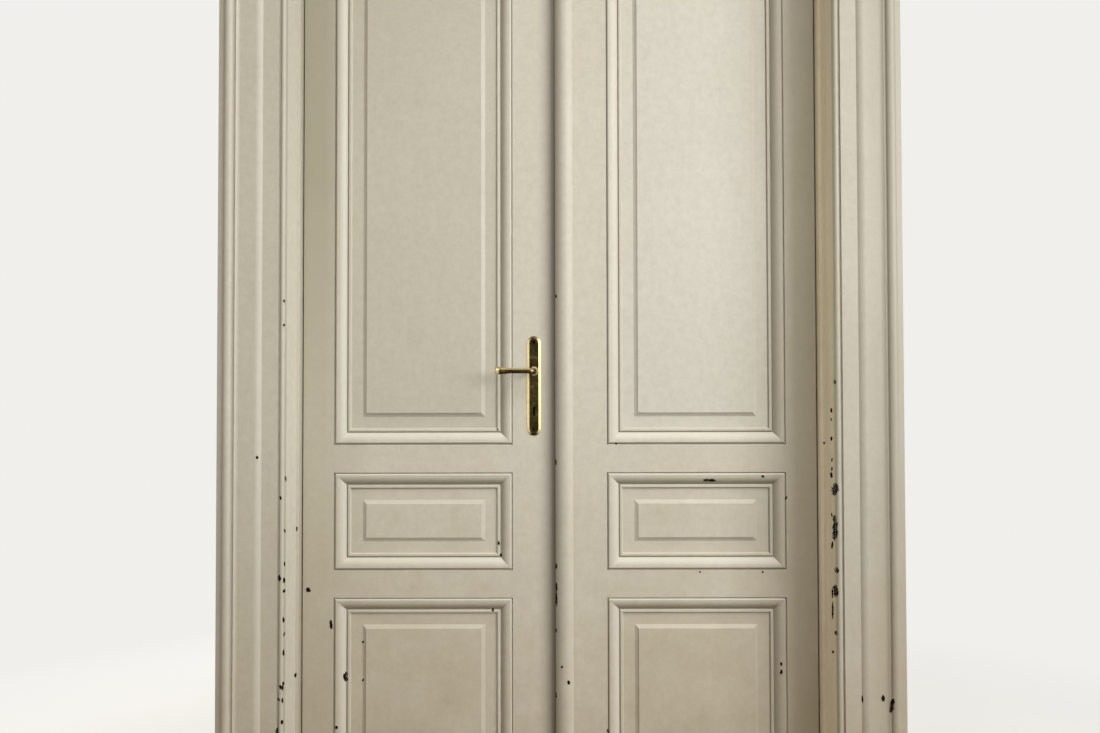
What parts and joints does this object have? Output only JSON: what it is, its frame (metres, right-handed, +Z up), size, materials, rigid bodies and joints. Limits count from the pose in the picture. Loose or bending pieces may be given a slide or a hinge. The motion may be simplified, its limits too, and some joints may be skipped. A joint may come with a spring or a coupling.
{
  "type": "panelled double door with frame",
  "caption": "Pair of painted, raised-panel timber doors in a deep lined frame with profiled architraves, a lever lock on a long plate, flush bolts and lift-off hinges.",
  "frame": {"origin": "at floor level, in the middle of the opening and of the lining's depth", "axes": "+X to the right seen from the near side, +Y away from the near side (the way the leaves open), +Z up"},
  "size_m": [1.57, 0.2693, 2.528],
  "materials": {
    "painted_wood": "aged oil paint, satin",
    "oak": "worn, oiled",
    "aged_brass": "worn polish",
    "lock_steel": "dull",
    "painted_hinge": "painted over"
  },
  "bodies": {
    "frame": {"reveal_board_left": "painted_wood", "reveal_board_right": "painted_wood", "reveal_board_head": "painted_wood", "frame_post_left": "painted_wood", "frame_post_right": "painted_wood", "frame_head": "painted_wood", "threshold": "oak", "near_architrave_left": "painted_wood", "near_architrave_right": "painted_wood", "near_architrave_head": "painted_wood", "far_architrave_left": "painted_wood", "far_architrave_right": "painted_wood", "far_architrave_head": "painted_wood", "frame_hinge_halves": "painted_hinge", "hinge_pins": "lock_steel", "bolt_keepers": "lock_steel"},
    "left_leaf": {"left_hinge_stile": "painted_wood", "left_meeting_stile": "painted_wood", "left_top_rail": "painted_wood", "left_lock_rail": "painted_wood", "left_lower_rail": "painted_wood", "left_bottom_rail": "painted_wood", "left_upper_panel": "painted_wood", "left_middle_panel": "painted_wood", "left_lower_panel": "painted_wood", "left_near_mouldings": "painted_wood", "left_far_mouldings": "painted_wood", "left_far_cover_strip": "painted_wood", "left_leaf_hinge_halves": "painted_hinge", "lock_case": "lock_steel", "lock_faceplate": "lock_steel", "near_backplate": "aged_brass", "far_backplate": "aged_brass", "backplate_screws": "aged_brass"},
    "right_leaf": {"right_hinge_stile": "painted_wood", "right_meeting_stile": "painted_wood", "right_top_rail": "painted_wood", "right_lock_rail": "painted_wood", "right_lower_rail": "painted_wood", "right_bottom_rail": "painted_wood", "right_upper_panel": "painted_wood", "right_middle_panel": "painted_wood", "right_lower_panel": "painted_wood", "right_near_mouldings": "painted_wood", "right_far_mouldings": "painted_wood", "right_near_cover_strip": "painted_wood", "right_leaf_hinge_halves": "painted_hinge", "strike_plate": "lock_steel", "flush_bolt_plates": "lock_steel"},
    "handle": {"near_lever": "aged_brass", "far_lever": "aged_brass", "spindle": "lock_steel", "lock_follower": "lock_steel"},
    "latch": {"latch_bolt": "lock_steel"},
    "key_bolt": {"dead_bolt": "lock_steel"},
    "upper_flush_bolt": {"top_bolt": "lock_steel"},
    "lower_flush_bolt": {"bottom_bolt": "lock_steel"}
  },
  "joints": [
    {"name": "left_leaf_swing", "type": "hinge", "parent": "frame", "child": "left_leaf", "pos_m": [-0.6265, 0.0975, 1.19], "axis": [0, 0, 1], "range_deg": [0, 160]},
    {"name": "right_leaf_swing", "type": "hinge", "parent": "frame", "child": "right_leaf", "pos_m": [0.6265, 0.0975, 1.19], "axis": [0, 0, -1], "range_deg": [0, 160]},
    {"name": "handle_turn", "type": "hinge", "parent": "left_leaf", "child": "handle", "pos_m": [-0.061, 0.0685, 1.13], "axis": [0, -1, 0], "range_deg": [0, 35], "stiffness_Nm_per_rad": 1, "springref_deg": -28.65},
    {"name": "latch_slide", "type": "slide", "parent": "left_leaf", "child": "latch", "axis": [-1, 0, 0], "range_m": [0, 0.011]},
    {"name": "key_bolt_slide", "type": "slide", "parent": "left_leaf", "child": "key_bolt", "axis": [1, 0, 0], "range_m": [0, 0.018]},
    {"name": "upper_bolt_slide", "type": "slide", "parent": "right_leaf", "child": "upper_flush_bolt", "axis": [0, 0, 1], "range_m": [0, 0.018]},
    {"name": "lower_bolt_slide", "type": "slide", "parent": "right_leaf", "child": "lower_flush_bolt", "axis": [0, 0, -1], "range_m": [0, 0.018]}
  ],
  "couplings": [
    {"joint": "latch_slide", "follows": "handle_turn", "m_per_rad": 0.018}
  ]
}
